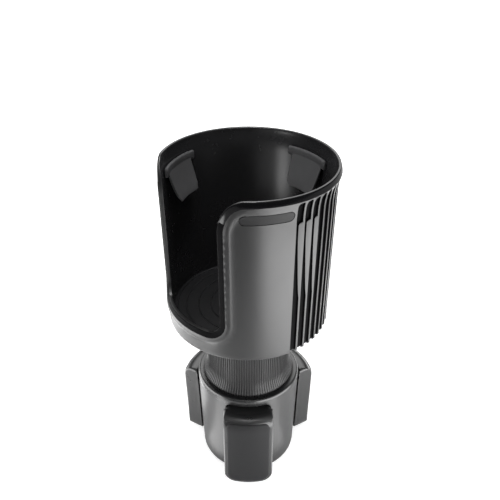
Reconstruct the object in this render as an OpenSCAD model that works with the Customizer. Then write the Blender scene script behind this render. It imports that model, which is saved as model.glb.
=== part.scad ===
// Two-stage cup holder for a car: a wide cup with a handle slot turns on a tapered base.
// Turning the cup spins a spiral disc, which pushes three L-shaped arms outwards
// until their rubber pads grip the holder moulded into the car.
// The axis of the object is Z, the origin is the middle of the base's underside,
// and the handle slot faces -Y. Angles round the axis are counted from -Y towards +X.

/* [Cup] */
// Outer radius of the cup wall at its bottom edge
cup_r = 52.2; // [50:0.2:60]
// Height of the cup from its bottom edge to the rim
cup_h = 108; // [95:1:130]
// Thickness of the cup wall
cup_wall = 2.8; // [2.2:0.1:3.6]
// How much the wall leans out between the bottom edge and the flare
cup_lean = 0.9; // [0:0.1:3]
// Height of the flare under the rim, band included
flare_h = 16; // [12:0.5:22]
// How far the flare stands out
flare_out = 1.7; // [0.5:0.1:3]
// Height of the bevelled band that runs along the rim and round the slot
band_h = 3.3; // [2:0.1:5]
// How far the band leans in
band_in = 0.9; // [0.4:0.1:1.4]
// Thickness of the cup floor
floor_t = 3; // [2:0.2:5]
// Depth of the hollow under the cup floor
foot_h = 1.5; // [0.6:0.1:3]

/* [Handle slot] */
// Half of the angle that the slot takes out of the wall
slot_half = 33.5; // [20:0.5:38]
// Height of the slot's bottom above the cup's bottom edge
slot_sill = 17.4; // [12:0.2:40]
// Radius of the slot's lower corners
slot_corner = 9; // [4:0.5:14]
// Angle taken by the fillet that opens the slot into the rim
slot_mouth = 17.5; // [8:0.5:18]
// Height of that fillet
slot_mouth_h = 21; // [10:0.5:30]

/* [Side ribs] */
// Angle at which the first groove starts, from the middle of the slot
groove_from = 84.6; // [84:0.2:92]
// Angle of one groove with its rib
rib_pitch = 6; // [5:0.5:8]
// Number of grooves on each side
groove_n = 11; // [4:1:11]
// Depth of the grooves
groove_d = 1.4; // [0.6:0.1:1.7]
// Share of the pitch that each rib takes
rib_share = 0.3; // [0.2:0.05:0.5]

/* [Grip tabs] */
// Angle from the slot to each of the two front tabs
tab_angle = 63; // [58:1:66]
// Length of the tab's oval plug outside the wall
plug_l = 34; // [26:0.5:34]
// Height of the oval plug
plug_h = 6.1; // [5:0.1:8]
// Depth of the plug's middle below the rim
plug_drop = 11.2; // [9:0.1:14]
// How far the flap reaches in from the wall
flap_reach = 9; // [5:0.5:12]
// Height of the flap
flap_h = 18; // [12:1:24]
// Thickness of the rubber flap
flap_t = 1.7; // [1.2:0.1:2.4]

/* [Twist neck] */
// Outer radius of the knurled neck, over the ribs
neck_r = 29; // [28:0.1:29.6]
// Height of the gap between the base rim and the cup
neck_gap = 51; // [20:1:70]
// Number of fine ribs on the neck
knurl_n = 90; // [60:1:96]
// Depth of the fine ribs
knurl_d = 0.6; // [0.3:0.1:0.9]
// Wall thickness of the neck
neck_wall = 3; // [2.4:0.1:4]

/* [Base] */
// Outer radius of the base under its rim
base_r = 35.5; // [34.5:0.1:40]
// Outer radius of the base at its foot
foot_r = 33.7; // [32:0.1:36]
// Height of the base up to its rim
base_h = 72.6; // [66:0.2:90]
// Wall thickness of the base
base_wall = 2.4; // [1.8:0.1:3]
// Width of the rounded rim
rim_w = 4; // [3:0.1:5]
// Height of the rounded rim
rim_h = 5; // [3:0.1:7]
// Radius of the rounding round the foot
foot_round = 5; // [2:0.5:8]

/* [Arms] */
// Angle of the first arm from the handle slot, with the cup at rest
arm_turn = 52; // [0:1:119]
// Width of the sliding part of each arm
arm_w = 30; // [24:0.2:30]
// Width of the arm's outer part, which carries the pad
face_w = 33.6; // [30:0.2:36]
// Distance from the axis to the arm's outer face, at the shoulder
arm_reach = 47.6; // [45:0.2:52]
// How far the outer face leans in over its height
arm_lean = 1.5; // [0:0.1:3]
// Height of the arm's lower end above the foot
arm_lift = 4; // [3:0.5:20]
// Thickness of the sliding part of the arm
slide_t = 6.6; // [5:0.2:8]
// Depth of the top of the slide below the base rim
slide_drop = 7.6; // [7:0.2:9]
// Gap between the arm and the base wall when it is drawn in
arm_gap = 1.6; // [1:0.1:3]
// Radius of the arm's upper corners, seen from outside
shoulder_r = 4.5; // [2:0.1:6]
// Radius of the arm's crown, seen from the side
crown_r = 8; // [5:0.5:9]
// Radius of the arm's lower corners
toe_r = 7; // [3:0.5:10]
// Border left round the rubber pad
pad_border = 1.8; // [1.2:0.1:3]
// How far the rubber pad stands proud of the arm
pad_proud = 0.5; // [0.2:0.1:1]
// Depth of the pocket that holds the pad
pad_deep = 1.4; // [1:0.1:2]

/* [Spiral drive] */
// How far each arm travels
travel = 11.5; // [6:0.5:11.5]
// Angle that the cup turns for that travel
twist = 115; // [100:1:115]
// Distance from the axis to the follower pin when the arm is drawn in
pin_at = 9; // [8.5:0.1:9]
// Radius of the follower pin
pin_r = 2.5; // [2:0.1:2.6]
// Thickness of the spiral disc
disc_t = 6; // [5:0.2:7]
// Radius of the pivot bolt
bolt_r = 3; // [2.5:0.1:3]

/* [Hidden] */
$fn = 96;

// Clearances
slide_fit = 0.2;
pin_fit = 0.25;
bolt_fit = 0.08;
seat_fit = 0.1;
face_gap = 0.05;
step_gap = 0.4;
over = 1;

// Heights, from the foot up
slide_top = base_h - slide_drop;
slide_z = slide_top - slide_t;
deck_t = 3.6;
deck_z = slide_z - step_gap - deck_t;
disc_z = slide_top + 0.65;
web_z = disc_z + disc_t;
web_t = 4.5;
neck_z = disc_z + 0.6;
cup_z = base_h + neck_gap;
floor_z = cup_z + foot_h;
rim_z = cup_z + cup_h;

// Cup wall
flare_z = cup_h - flare_h;
band_z = cup_h - band_h;
edge_r = 1.2;
arc_steps = 6;

// Outer radius of the cup wall at a height over its bottom edge, without the band
function wall_r(z) = z < flare_z
    ? cup_r + cup_lean * z / flare_z
    : cup_r + cup_lean + flare_out * pow((min(z, band_z) - flare_z) / (band_z - flare_z), 2);

// Point at an angle from -Y, a radius and a height
function at(a, r, z) = [r * sin(a), -r * cos(a), z];

// Points of an arc in a plane
function arc(c, r, a0, a1, n = arc_steps) =
    [for (i = [0:n]) [c[0] + r * cos(a0 + (a1 - a0) * i / n), c[1] + r * sin(a0 + (a1 - a0) * i / n)]];

// Solid through a row of rings of equal length
module skin(rings) {
    n = len(rings[0]);
    m = len(rings);
    sides = [for (j = [0:m - 2]) for (i = [0:n - 1])
        each [[j * n + i, j * n + (i + 1) % n, (j + 1) * n + i],
            [j * n + (i + 1) % n, (j + 1) * n + (i + 1) % n, (j + 1) * n + i]]];
    first = [for (i = [1:n - 2]) [0, i + 1, i]];
    last = [for (i = [1:n - 2]) [(m - 1) * n, (m - 1) * n + i, (m - 1) * n + i + 1]];
    polyhedron([for (r = rings) each r], concat(first, sides, last), convexity = 8);
}

// Wall profile of the cup: outside, then inside
flare_steps = 5;
wall_out = concat(
    arc([wall_r(0) - edge_r, edge_r], edge_r, -90, 0),
    [for (i = [0:flare_steps]) let (z = flare_z + (band_z - flare_z) * i / flare_steps) [wall_r(z), z]],
    [[wall_r(band_z) - band_in, cup_h]]
);
wall_in = concat(
    [[wall_r(band_z) - band_in - cup_wall + 0.5, cup_h], [wall_r(band_z) - cup_wall, band_z]],
    [for (i = [flare_steps - 1:-1:0]) let (z = flare_z + (band_z - flare_z) * i / flare_steps)
        [wall_r(z) - cup_wall, z]],
    arc([wall_r(0) - cup_wall - edge_r, foot_h + floor_t + edge_r], edge_r, 0, -90)
);
foot_in = cup_r - cup_wall - edge_r;
cup_profile = concat([[0, foot_h], [foot_in, foot_h], [foot_in, 0]], wall_out, wall_in, [[0, foot_h + floor_t]]);

// Right half of the slot's edge, as angle and height, from the sill to the rim
corner_a = slot_corner / cup_r * 180 / PI;
slot_edge = concat(
    [for (i = [0:arc_steps]) let (t = 90 * i / arc_steps)
        [slot_half - corner_a * (1 - sin(t)), slot_sill + slot_corner * (1 - cos(t))]],
    [for (i = [0:arc_steps]) let (t = 90 * i / arc_steps)
        [slot_half + slot_mouth * (1 - cos(t)), cup_h - slot_mouth_h * (1 - sin(t))]]
);

// Opening of the slot, cut square to the wall
module slot_opening() {
    inner = cup_r - cup_wall - 6;
    outer = 2 * cup_r;
    top = [slot_half + slot_mouth, cup_h + over];
    skin([for (p = concat(slot_edge, [top]))
        [at(-p[0], inner, p[1]), at(p[0], inner, p[1]), at(p[0], outer, p[1]), at(-p[0], outer, p[1])]]);
}

// Bevel round the slot, in line with the band on the rim. It rises out of the wall where the two meet
module slot_bevel() {
    run_on = 2.5;
    sill_steps = 10;
    right = concat(slot_edge, [[slot_half + slot_mouth + run_on, cup_h]]);
    left = [for (i = [len(right) - 1:-1:0]) [-right[i][0], right[i][1]]];
    sill = [for (k = [1:sill_steps - 1]) [slot_edge[0][0] * (2 * k / sill_steps - 1), slot_sill]];
    path = concat(left, sill, right);
    last = len(path) - 1;
    reach = 1.15;
    mouth = slot_half + slot_mouth / 2;
    skin([for (i = [0:last])
        let (a = path[max(i - 1, 0)], b = path[min(i + 1, last)], p = path[i])
        let (ds = (b[0] - a[0]) * PI / 180 * cup_r, dz = b[1] - a[1], d = norm([ds, dz]))
        let (na = dz / d / cup_r * 180 / PI, nz = -ds / d)
        let (q = [p[0] + na * band_h * reach, p[1] + nz * band_h * reach])
        let (o = [p[0] - na * over, p[1] - nz * over])
        let (rise = 0.4 * max(0, (abs(p[0]) - mouth) / slot_mouth * 2))
        let (r = wall_r(p[1]) + rise, rq = wall_r(q[1]) + rise)
        [at(p[0], r - band_in, p[1]), at(q[0], rq + band_in * (reach - 1), q[1]),
            at(q[0], rq + 3, q[1]), at(o[0], r + 3, o[1]), at(o[0], r - band_in * (1 + over / band_h), o[1])]]);
}

// Waste that leaves ribs between grooves on one side, and leans out with the wall.
// The flank of each groove is steep on the near side and slopes up to the next rib
flank_a = 0.35;
slope_a = 1.3;
rib_d = 0.12;
groove_end = groove_from + rib_pitch * (groove_n - rib_share);
groove_zs = [-over, flare_z + 0.8, (flare_z + band_z) / 2 + 0.5, band_z - 0.5];

function plan(a, r) = r * [sin(a), -cos(a)];

module groove_outline(r) {
    groove_a = rib_pitch * (1 - rib_share);
    polygon(concat(
        [for (i = [0:groove_n - 1]) let (a = groove_from + rib_pitch * i)
            each [plan(a, r - (i == 0 ? -over : rib_d)), plan(a + flank_a, r - groove_d),
                plan(a + groove_a - slope_a, r - groove_d), plan(a + groove_a, r - rib_d)]],
        [plan(groove_end + 0.1, r + 9)],
        [for (k = [4:-1:0]) plan(groove_from + (groove_end - groove_from) * k / 5, r + 12)]));
}

module grooves() {
    for (i = [0:len(groove_zs) - 2]) {
        low = wall_r(max(groove_zs[i], 0));
        high = wall_r(groove_zs[i + 1]);
        translate([0, 0, groove_zs[i]])
            linear_extrude(groove_zs[i + 1] - groove_zs[i], scale = high / low) groove_outline(low);
    }
}

module plug_outline(l, h) {
    square([l - h, h], center = true);
    for (s = [-1, 1]) translate([s * (l - h) / 2, 0]) circle(d = h, $fn = 48);
}

// Prism of an oval that points at the wall, at a tab's angle
module plug_prism(a, l, h) {
    translate([0, 0, cup_h - plug_drop]) rotate([0, 0, a]) rotate([90, 0, 0])
        translate([0, 0, cup_r * 0.7]) linear_extrude(cup_r / 2) plug_outline(l, h);
}

// Ring that follows the wall between two depths below its outer face
module wall_ring(d0, d1) {
    z0 = cup_h - plug_drop - plug_h;
    z1 = cup_h - plug_drop + plug_h;
    steps = 4;
    zs = [for (i = [0:steps]) z0 + (z1 - z0) * i / steps];
    rotate_extrude() polygon(concat([for (z = zs) [wall_r(z) - d0, z]],
        [for (i = [steps:-1:0]) [wall_r(zs[i]) - d1, zs[i]]]));
}

plug_deep = 1.1;
stem_l = plug_l - 7;
stem_h = plug_h - 2.6;
tab_angles = [tab_angle, 180, -tab_angle];

// Screws that hold the cup on the neck
cup_screw_n = 3;
cup_screw_at = neck_r - neck_wall - 4.6;
cup_screw_bite = 9;
screw_r = 1.5;
screw_head = 2.9;
screw_fit = 0.1;
screw_low = 0.05;

module round_about(n, at_r, turn = 0) {
    for (i = [0:n - 1]) rotate([0, 0, turn + 360 * i / n]) translate([0, -at_r, 0]) children();
}

// Countersunk screw, head up, its top face at z = 0
module screw(length, drive = true) {
    cone = screw_head - screw_r;
    difference() {
        union() {
            translate([0, 0, -length]) cylinder(r = screw_r, h = length - cone, $fn = 32);
            translate([0, 0, -cone]) cylinder(r1 = screw_r, r2 = screw_head, h = cone, $fn = 32);
        }
        if (drive) for (a = [0, 90]) rotate([0, 0, a]) translate([-screw_head * 0.6, -0.4, -1])
            cube([screw_head * 1.2, 0.8, 1 + over]);
    }
}

module screw_sink(length) {
    cone = screw_head - screw_r;
    translate([0, 0, -length]) cylinder(r = screw_r + screw_fit, h = length + over, $fn = 32);
    translate([0, 0, -cone]) cylinder(r1 = screw_r + screw_fit, r2 = screw_head + screw_fit, h = cone, $fn = 32);
    cylinder(r = screw_head + screw_fit, h = over, $fn = 32);
}

module lift() {
    translate([0, 0, cup_z]) children();
}

module cup_body() {
    color("#3b3c3f") difference() {
        rotate_extrude($fn = 144) polygon([for (p = cup_profile) p + [0, cup_z]]);
        lift() slot_opening();
        lift() slot_bevel();
        lift() grooves();
        lift() mirror([1, 0, 0]) grooves();
        for (a = tab_angles) {
            lift() plug_prism(a, stem_l + 2 * seat_fit, stem_h + 2 * seat_fit);
            intersection() {
                lift() plug_prism(a, plug_l + 2 * seat_fit, plug_h + 2 * seat_fit);
                lift() wall_ring(-2, plug_deep + seat_fit);
            }
        }
        translate([0, 0, floor_z + floor_t]) round_about(cup_screw_n, cup_screw_at) screw_sink(floor_t + over);
    }
}

// Rubber tab: oval plug outside, stem through the wall, bead and flap inside
bead_half = 20;
flap_half = 16;
bead_t = 2.2;

module grip_tab(a) {
    bead_top = cup_h - plug_drop + plug_h / 2;
    bead_z = bead_top - plug_h;
    in_r = wall_r(bead_z) - cup_wall - seat_fit;
    root = in_r - bead_t / 2;
    color("#47484a") lift() rotate([0, 0, a]) {
        intersection() {
            plug_prism(0, plug_l, plug_h);
            wall_ring(0.12, plug_deep);
        }
        intersection() {
            plug_prism(0, stem_l, stem_h);
            wall_ring(plug_deep - 0.3, cup_wall + bead_t / 2);
        }
        rotate([0, 0, -90 - bead_half]) rotate_extrude(angle = 2 * bead_half)
            polygon(concat([[in_r, bead_z], [in_r, bead_top - bead_t / 2]],
                arc([in_r - bead_t / 2, bead_top - bead_t / 2], bead_t / 2, 0, 180),
                [[in_r - bead_t, bead_z]]));
        rotate([0, 0, -90 - flap_half]) rotate_extrude(angle = 2 * flap_half)
            polygon([[root, bead_z + 1.5], [root - bead_t / 2, bead_z + 1.5],
                [in_r - flap_reach, bead_z - flap_h], [in_r - flap_reach + flap_t, bead_z - flap_h],
                [root, bead_z - 1]]);
    }
}

// Mat on the cup floor, with round grooves that drain drips
mat_t = 1.6;
mat_r = cup_r - cup_wall - edge_r - 1.5;
drain_first = 12;
drain_pitch = 8;
drain_w = 1;
drain_d = 0.5;

module cup_mat() {
    color("#232324") translate([0, 0, floor_z + floor_t + face_gap]) difference() {
        cylinder(r = mat_r, h = mat_t);
        for (r = [drain_first:drain_pitch:mat_r - 6]) translate([0, 0, mat_t - drain_d]) difference() {
            cylinder(r = r + drain_w, h = over);
            translate([0, 0, -over]) cylinder(r = r, h = 3 * over);
        }
    }
}

module cup_screws() {
    color("silver") translate([0, 0, floor_z + floor_t - screw_low]) round_about(cup_screw_n, cup_screw_at)
        screw(floor_t + cup_screw_bite);
}

// Neck
disc_r = neck_r - knurl_d - 2;
neck_top = floor_z;
flange_r = neck_r + 1;
flange_h = 6;
hollow_r = neck_r - neck_wall;
disc_screw_at = 19;
disc_screw_a = -25;

module knurled_tube(r, h) {
    linear_extrude(h) polygon([for (i = [0:2 * knurl_n - 1]) let (a = 180 * i / knurl_n)
        (r - (i % 2) * knurl_d) * [cos(a), sin(a)]]);
}

module twist_neck() {
    color("#2f3032") difference() {
        union() {
            translate([0, 0, neck_z]) knurled_tube(neck_r, neck_top - flange_h - neck_z);
            translate([0, 0, neck_top - flange_h]) cylinder(r1 = neck_r + 0.2, r2 = flange_r, h = flange_h - 2);
            translate([0, 0, neck_top - 2]) cylinder(r = flange_r, h = 2);
        }
        translate([0, 0, neck_z - over]) cylinder(r = disc_r + seat_fit, h = web_z - neck_z + over);
        difference() {
            translate([0, 0, web_z + web_t]) cylinder(r = hollow_r, h = neck_top);
            round_about(cup_screw_n, cup_screw_at + 2.2) translate([0, 0, web_z])
                cylinder(r = 5.4, h = neck_top - web_z);
        }
        translate([0, 0, web_z - over]) cylinder(r = bolt_r + bolt_fit, h = web_t + 2 * over);
        round_about(cup_screw_n, cup_screw_at) translate([0, 0, neck_top - cup_screw_bite - 2])
            cylinder(r = screw_r, h = cup_screw_bite + 2 + over, $fn = 32);
        round_about(3, disc_screw_at, arm_turn + disc_screw_a) translate([0, 0, web_z - over])
            cylinder(r = screw_r, h = web_t, $fn = 32);
    }
}

// Spiral slot: the follower's distance grows evenly as the disc turns past it
slot_r = pin_r + pin_fit;
turn_steps = 28;
slot_rate = travel / (twist * PI / 180);

function spiral(t) = pin_at + travel * t / twist;
function spiral_side(t, s) =
    let (r = spiral(t), d = norm([slot_rate, r]))
    let (out = r / d * s * slot_r, round = slot_rate / d * s * slot_r)
    (r + out) * [sin(-t), -cos(-t)] + round * [cos(-t), sin(-t)];

module spiral_slot(h) {
    ts = [for (i = [0:turn_steps]) twist * i / turn_steps];
    linear_extrude(h) polygon(concat([for (t = ts) spiral_side(t, 1)],
        [for (i = [turn_steps:-1:0]) spiral_side(ts[i], -1)]));
    for (t = [0, twist]) rotate([0, 0, -t]) translate([0, -spiral(t), 0]) cylinder(r = slot_r, h = h, $fn = 48);
}

module spiral_disc() {
    color("#d8d8d2") translate([0, 0, disc_z]) difference() {
        cylinder(r = disc_r, h = disc_t);
        translate([0, 0, -over]) cylinder(r = bolt_r + bolt_fit, h = disc_t + 2 * over);
        for (i = [0:2]) rotate([0, 0, arm_turn + 120 * i]) translate([0, 0, -over])
            spiral_slot(disc_t + 2 * over);
        round_about(3, disc_screw_at, arm_turn + disc_screw_a) mirror([0, 0, 1])
            screw_sink(disc_t + over);
    }
}

module disc_screws() {
    color("silver") round_about(3, disc_screw_at, arm_turn + disc_screw_a)
        translate([0, 0, disc_z + screw_low]) mirror([0, 0, 1]) screw(disc_t + 3);
}

// Base
function shell_r(z) = foot_r + (base_r - foot_r) * z / (base_h - rim_h);
base_floor = 2.6;
post_at = 25;
post_r = 5;
post_seat = deck_z - 10;
window_w = arm_w / 2 + 0.5;
window_top = base_h - rim_h;
window_round = 4.5;

// Window that an arm slides through, with rounded upper corners under the closed rim
module window_outline() {
    c = [window_w - window_round, window_top - window_round];
    polygon(concat(arc(c, window_round, 0, 90), arc([-c[0], c[1]], window_round, 90, 180),
        [[-window_w, slide_z - step_gap], [window_w, slide_z - step_gap]]));
}

module base_shell() {
    lip = base_r - rim_w;
    color("#3b3c3f") difference() {
        union() {
            rotate_extrude() polygon(concat(
                [[0, 0]],
                arc([foot_r - foot_round, foot_round], foot_round, -90, 0),
                [for (i = [0:arc_steps]) let (t = 90 * i / arc_steps)
                    [lip + rim_w * cos(t), base_h - rim_h + rim_h * sin(t)]],
                [[lip, base_h - rim_h], [shell_r(base_h - 2 * rim_h) - base_wall, base_h - 2 * rim_h],
                    [shell_r(foot_round) - base_wall, foot_round],
                    [foot_r - foot_round, base_floor], [0, base_floor]]));
            round_about(3, post_at, arm_turn + 60) cylinder(r = post_r, h = deck_z - face_gap);
        }
        for (i = [0:2]) rotate([0, 0, arm_turn + 120 * i]) {
            rotate([90, 0, 0]) translate([0, 0, base_r - 8]) linear_extrude(12) window_outline();
        }
        round_about(3, post_at, arm_turn + 60) {
            translate([0, 0, -over]) cylinder(r = screw_head + 0.5, h = post_seat + over, $fn = 32);
            translate([0, 0, post_seat]) mirror([0, 0, 1]) screw_sink(deck_z - post_seat + over);
        }
    }
}

hub_r = 9;
hub_h = 7.4;
nut_h = 5;
nut_af = 10;
nut_r = nut_af / sqrt(3);
nut_z = deck_z - hub_h + 0.4;

deck_r = base_r - rim_w - 0.3;
channel = arm_w / 2 + slide_fit;

// Block between two neighbouring arms, built facing -Y: its sides run along the arms
module guide_block() {
    apex = channel / sin(60);
    difference() {
        intersection() {
            translate([0, 0, deck_z + 1]) cylinder(r = deck_r - 0.4, h = slide_top + 0.2 - deck_z - 1);
            linear_extrude(base_h) polygon([[0, -apex], [-base_r * sin(60), -apex - base_r * cos(60)],
                [base_r * sin(60), -apex - base_r * cos(60)]]);
        }
        cylinder(r = apex + 1.6, h = base_h);
    }
}

module guide_deck() {
    color("#4a4b4e") difference() {
        union() {
            translate([0, 0, deck_z]) cylinder(r = deck_r, h = deck_t);
            translate([0, 0, deck_z - hub_h]) cylinder(r = hub_r, h = hub_h + over);
            for (i = [0:2]) rotate([0, 0, arm_turn + 60 + 120 * i]) guide_block();
        }
        translate([0, 0, deck_z - hub_h - over]) cylinder(r = bolt_r + bolt_fit, h = hub_h + deck_t + 3);
        translate([0, 0, deck_z - hub_h - over]) cylinder(r = nut_r + 0.1, h = nut_h + 0.5 + over, $fn = 6);
        round_about(3, post_at, arm_turn + 60) translate([0, 0, deck_z - over])
            cylinder(r = screw_r, h = slide_top - deck_z - 0.6, $fn = 32);
    }
}

module deck_screws() {
    color("silver") round_about(3, post_at, arm_turn + 60) translate([0, 0, post_seat + screw_low])
        mirror([0, 0, 1]) screw(slide_top - post_seat - 3);
}

// Pivot
washer_t = 1;
bolt_top = web_z + web_t + washer_t + 2 * face_gap;

module pivot_bolt() {
    head_h = 3.4;
    head_r = bolt_r + 2.2;
    key_r = bolt_r - 0.1;
    color("silver") {
        difference() {
            translate([0, 0, bolt_top]) cylinder(r = head_r, h = head_h);
            translate([0, 0, bolt_top + 1.4]) cylinder(r = key_r, h = head_h, $fn = 6);
        }
        translate([0, 0, nut_z - 1.2]) cylinder(r = bolt_r, h = bolt_top - nut_z + 1.2 + 0.2);
    }
}

module pivot_washer() {
    color("gainsboro") translate([0, 0, web_z + web_t + face_gap]) difference() {
        cylinder(r = bolt_r + 4.5, h = washer_t);
        translate([0, 0, -over]) cylinder(r = bolt_r + 0.05, h = washer_t + 2 * over);
    }
}

module pivot_sleeve() {
    color("goldenrod") translate([0, 0, deck_z + deck_t]) difference() {
        cylinder(r = bolt_r + 1.5, h = disc_z - deck_z - deck_t - face_gap);
        translate([0, 0, -over]) cylinder(r = bolt_r + 0.05, h = disc_z);
    }
}

module pivot_nut() {
    color("silver") translate([0, 0, nut_z]) difference() {
        cylinder(r = nut_r, h = nut_h, $fn = 6);
        translate([0, 0, -over]) cylinder(r = bolt_r + 0.02, h = nut_h + 2 * over);
    }
}

// Arm, built facing -Y
arm_top = slide_top;
arm_h = arm_top - arm_lift;
tongue_w = 14;
tongue_end = bolt_r + 2.5;
body_end = arm_w / 2 / tan(60) + 1.8;
face_round = 2.4;
toe_border = 1.2;
top_border = 2.6;

// Outline of the arm seen from outside, drawn in at the sides, the top and the toe
module arm_outline(side = 0, top = 0, toe = 0) {
    w = face_w / 2 - side;
    rt = max(shoulder_r - top, 1.5);
    rb = max(toe_r - side, 1);
    zt = arm_top - top;
    zb = arm_lift + toe;
    polygon(concat(arc([w - rt, zt - rt], rt, 0, 90), arc([-w + rt, zt - rt], rt, 90, 180),
        arc([-w + rb, zb + rb], rb, 180, 270), arc([w - rb, zb + rb], rb, 270, 360)));
}

// Solid of revolution with the arm's outer face, grown outwards
module arm_round(grow = 0) {
    r1 = arm_reach - arm_lean + grow;
    r2 = arm_reach + grow;
    translate([0, 0, arm_lift]) cylinder(r1 = r1, r2 = r2, h = arm_h - crown_r, $fn = 144);
    translate([0, 0, arm_top - crown_r]) rotate_extrude($fn = 144) polygon(concat(
        [[0, 0]], arc([r2 - crown_r, 0], crown_r, 0, 90, arc_steps + 1), [[0, crown_r]]));
}

// Side view of the arm as an L
module arm_side() {
    leg_in = foot_r - 4;
    polygon([[-tongue_end, slide_z], [-tongue_end, arm_top], [-arm_reach - 2, arm_top],
        [-arm_reach - 2, arm_lift], [-leg_in, arm_lift], [-leg_in, slide_z]]);
}

// View of the arm from above
module arm_plan() {
    w = arm_w / 2;
    f = face_w / 2;
    c = arm_reach - 3.2;
    wide_at = foot_r - 4.7;
    polygon(concat([[tongue_w / 2, -tongue_end], [tongue_w / 2, -body_end], [w, -body_end], [w, -wide_at],
            [f, -wide_at]],
        arc([f - face_round, -c + face_round], face_round, 0, -45),
        [[f - face_round, -arm_reach - 2], [-f + face_round, -arm_reach - 2]],
        arc([-f + face_round, -c + face_round], face_round, 225, 180),
        [[-f, -wide_at], [-w, -wide_at], [-w, -body_end], [-tongue_w / 2, -body_end],
            [-tongue_w / 2, -tongue_end]]));
}

module pad_space(extra) {
    intersection() {
        rotate([90, 0, 0]) linear_extrude(arm_reach + 4)
            arm_outline(pad_border - extra, top_border - extra, toe_border - extra);
        difference() {
            arm_round(extra > 0 ? 4 : pad_proud);
            arm_round(-pad_deep - extra);
        }
    }
}

module arm(i) {
    color("#3f4043") rotate([0, 0, arm_turn + 120 * i]) difference() {
        intersection() {
            rotate([90, 0, 0]) linear_extrude(arm_reach + 4) arm_outline();
            rotate([90, 0, 90]) translate([0, 0, -arm_w]) linear_extrude(2 * arm_w) arm_side();
            linear_extrude(arm_top + over) arm_plan();
            arm_round();
        }
        cylinder(r1 = foot_r + arm_gap, r2 = shell_r(slide_z) + arm_gap, h = slide_z);
        difference() {
            translate([0, 0, slide_z - 1.5]) cylinder(r = base_r + arm_gap, h = slide_t + 3);
            translate([-arm_w / 2, -2 * base_r, 0]) cube([arm_w, 2 * base_r, base_h]);
        }
        pad_space(0.1);
        translate([0, -pin_at, slide_top - 5]) cylinder(r = pin_r, h = 5 + over, $fn = 48);
    }
}

module arm_pad(i) {
    color("#2c2c2e") rotate([0, 0, arm_turn + 120 * i]) pad_space(0);
}

module follower_pin(i) {
    color("silver") rotate([0, 0, arm_turn + 120 * i]) translate([0, -pin_at, slide_top - 5])
        cylinder(r = pin_r, h = 5 + web_z - slide_top - 0.6, $fn = 48);
}

cup_body();
grip_tab(tab_angles[0]);  // grip_tab_1
grip_tab(tab_angles[1]);  // grip_tab_2
grip_tab(tab_angles[2]);  // grip_tab_3
cup_mat();
cup_screws();
twist_neck();
spiral_disc();
disc_screws();
base_shell();
guide_deck();
deck_screws();
pivot_bolt();
pivot_washer();
pivot_sleeve();
pivot_nut();
arm(0);  // arm_1
arm(1);  // arm_2
arm(2);  // arm_3
arm_pad(0);  // arm_pad_1
arm_pad(1);  // arm_pad_2
arm_pad(2);  // arm_pad_3
follower_pin(0);  // follower_pin_1
follower_pin(1);  // follower_pin_2
follower_pin(2);  // follower_pin_3
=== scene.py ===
"""Looks of the car cup holder: its pieces, finishes, floor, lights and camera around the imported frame."""

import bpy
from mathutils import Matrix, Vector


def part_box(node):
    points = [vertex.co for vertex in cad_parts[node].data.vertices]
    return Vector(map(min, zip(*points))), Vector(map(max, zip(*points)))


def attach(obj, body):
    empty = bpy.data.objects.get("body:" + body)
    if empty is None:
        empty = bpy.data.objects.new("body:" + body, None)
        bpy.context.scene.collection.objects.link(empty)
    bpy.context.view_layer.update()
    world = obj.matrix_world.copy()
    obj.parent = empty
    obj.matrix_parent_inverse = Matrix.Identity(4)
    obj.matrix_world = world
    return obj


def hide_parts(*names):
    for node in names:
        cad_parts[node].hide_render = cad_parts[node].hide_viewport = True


bl_info = {
    "name": "Car cup holder",
    "version": (1, 0, 0),
    "blender": (4, 5, 0),
    "location": "3D View > Sidebar > Cup holder",
    "description": "Builds the visible pieces and finishes of an expanding car cup holder",
    "category": "Object",
}

import math

import bmesh
import bpy
import numpy as np
from bpy.props import FloatProperty, FloatVectorProperty, IntProperty, PointerProperty
from mathutils import Matrix, Vector
from mathutils.geometry import delaunay_2d_cdt

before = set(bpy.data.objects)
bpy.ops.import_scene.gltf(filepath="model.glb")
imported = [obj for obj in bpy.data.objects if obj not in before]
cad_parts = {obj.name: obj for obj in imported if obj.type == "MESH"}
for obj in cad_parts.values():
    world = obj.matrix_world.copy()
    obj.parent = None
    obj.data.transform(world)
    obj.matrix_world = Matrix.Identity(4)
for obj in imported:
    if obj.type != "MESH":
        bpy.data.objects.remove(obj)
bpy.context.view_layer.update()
MM = 0.001


# Shader maths
class Value:
    """A socket of a shader tree that takes part in Python expressions."""

    def __init__(self, finish, socket):
        self.finish, self.socket = finish, socket

    def _math(self, operation, *others):
        sockets = [self, *others]
        return self.finish.add("ShaderNodeMath", {"operation": operation}, dict(enumerate(sockets)))

    def __add__(self, other):
        return self._math("ADD", other)

    __radd__ = __add__

    def __mul__(self, other):
        return self._math("MULTIPLY", other)

    __rmul__ = __mul__

    def __sub__(self, other):
        return self._math("SUBTRACT", other)

    def __rsub__(self, other):
        return self.finish.add("ShaderNodeMath", {"operation": "SUBTRACT"}, {0: other, 1: self})

    def other(self, output):
        """Another output of the node that this one comes from."""
        return Value(self.finish, self.socket.node.outputs[output])

    def clamp(self):
        return self.finish.add("ShaderNodeClamp", {}, {0: self})


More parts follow.
